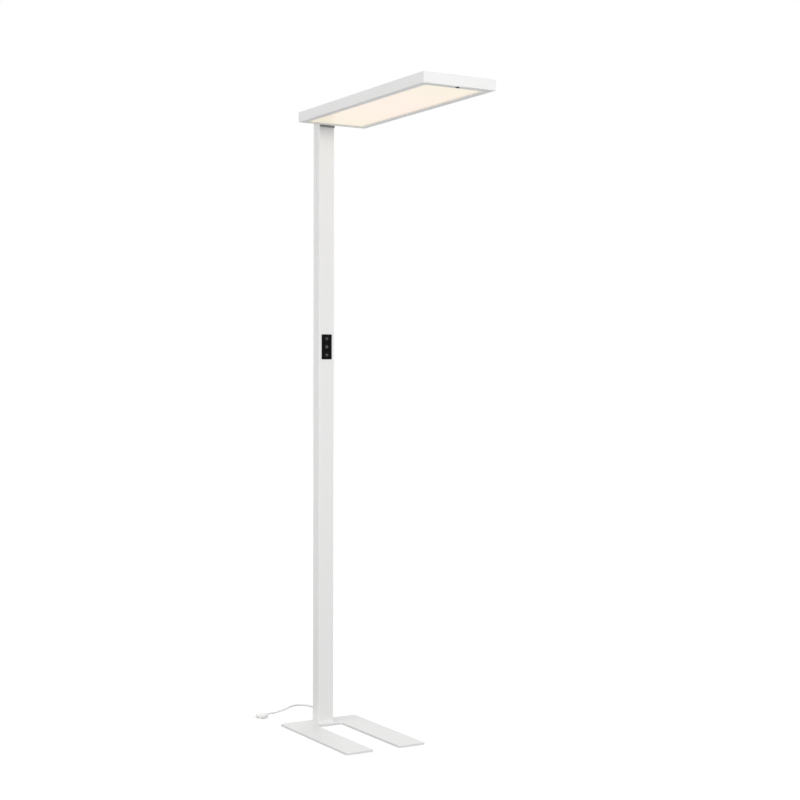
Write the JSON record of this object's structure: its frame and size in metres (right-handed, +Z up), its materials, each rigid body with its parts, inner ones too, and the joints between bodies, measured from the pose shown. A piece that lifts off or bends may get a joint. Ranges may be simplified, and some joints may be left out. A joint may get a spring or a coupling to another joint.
{
  "type": "office floor lamp",
  "caption": "Free-standing office lamp: flat forked base, slim square column with push-button panel, and a flat rectangular head with a glowing underside and a presence sensor.",
  "frame": {"origin": "the column's axis where it meets the floor", "axes": "+X from the column along the base prongs and the head, +Z up, +Y to the left when looking along +X"},
  "size_m": [1.0988, 0.3011, 1.95],
  "materials": {
    "white_paint": "fine white powder coat, satin",
    "white_plastic": "white moulded, satin",
    "dark_bracket": "dark grey powder coat",
    "pad_rubber": "black, matt",
    "steel": "bare, machined",
    "zinc_screw": "zinc plated",
    "white_screw": "white",
    "dark_screw": "black",
    "tray_metal": "white sheet metal",
    "diffuser_plastic": "opal, softly glowing warm white",
    "led_board": "white circuit board",
    "terminal_plastic": "cream",
    "driver_case": "white case",
    "sensor_case_plastic": "light grey",
    "sensor_lens_plastic": "black dome",
    "panel_plastic": "black, smooth",
    "inner_case_plastic": "black",
    "control_board": "green circuit board",
    "switch_plastic": "black",
    "button_plastic": "dark grey with light symbols",
    "gland_plastic": "white, slightly soft",
    "lead_plastic": "white sheath",
    "cord_plastic": "white sheath",
    "tie_plastic": "white strap",
    "plug_plastic": "white moulded",
    "pin_metal": "nickel plated"
  },
  "bodies": {
    "stand": {"base_plate": "white_paint", "column_profile": "white_paint", "side_rail_left": "white_paint", "side_rail_right": "white_paint", "end_rail_column": "white_paint", "end_rail_sensor": "white_paint", "top_cover": "white_paint", "column_cap": "white_plastic", "head_bracket": "dark_bracket", "base_pad_rear_left": "pad_rubber", "base_pad_rear_right": "pad_rubber", "base_pad_front_left": "pad_rubber", "base_pad_front_right": "pad_rubber", "foot_pad": "pad_rubber", "foot_block": "steel", "bracket_nut_plate": "steel", "corner_key_column_left": "steel", "corner_key_column_right": "steel", "corner_key_sensor_left": "steel", "corner_key_sensor_right": "steel", "foot_screw_front_left": "zinc_screw", "foot_screw_front_right": "zinc_screw", "foot_screw_rear_left": "zinc_screw", "foot_screw_rear_right": "zinc_screw", "tongue_screw_left": "zinc_screw", "tongue_screw_right": "zinc_screw", "foot_lock_screw": "white_screw", "cover_screw_near_left": "white_screw", "cover_screw_near_right": "white_screw", "cover_screw_far_left": "white_screw", "cover_screw_far_right": "white_screw", "flange_screw_left": "dark_screw", "flange_screw_right": "dark_screw", "led_tray": "tray_metal", "diffuser": "diffuser_plastic", "led_board_left": "led_board", "led_board_right": "led_board", "terminal_block": "terminal_plastic", "led_driver": "driver_case", "sensor_case": "sensor_case_plastic", "sensor_lens": "sensor_lens_plastic", "control_bezel": "panel_plastic", "control_case": "inner_case_plastic", "control_board": "control_board", "switch_up": "switch_plastic", "switch_power": "switch_plastic", "switch_down": "switch_plastic", "cable_gland": "gland_plastic", "lead_lower": "lead_plastic", "lead_upper": "lead_plastic", "cord_from_gland": "cord_plastic", "cord_hank": "cord_plastic", "cord_on_floor": "cord_plastic", "hank_tie": "tie_plastic", "plug_body": "plug_plastic", "plug_pin_left": "pin_metal", "plug_pin_right": "pin_metal"},
    "button_up_body": {"button_up": "button_plastic"},
    "button_power_body": {"button_power": "button_plastic"},
    "button_down_body": {"button_down": "button_plastic"}
  },
  "joints": [
    {"name": "button_up_press", "type": "slide", "parent": "stand", "child": "button_up_body", "axis": [-1, 0, 0], "range_m": [0, 0.0008], "stiffness_N_per_m": 1200, "springref_m": -0.0006},
    {"name": "button_power_press", "type": "slide", "parent": "stand", "child": "button_power_body", "axis": [-1, 0, 0], "range_m": [0, 0.0008], "stiffness_N_per_m": 1200, "springref_m": -0.0006},
    {"name": "button_down_press", "type": "slide", "parent": "stand", "child": "button_down_body", "axis": [-1, 0, 0], "range_m": [0, 0.0008], "stiffness_N_per_m": 1200, "springref_m": -0.0006}
  ]
}
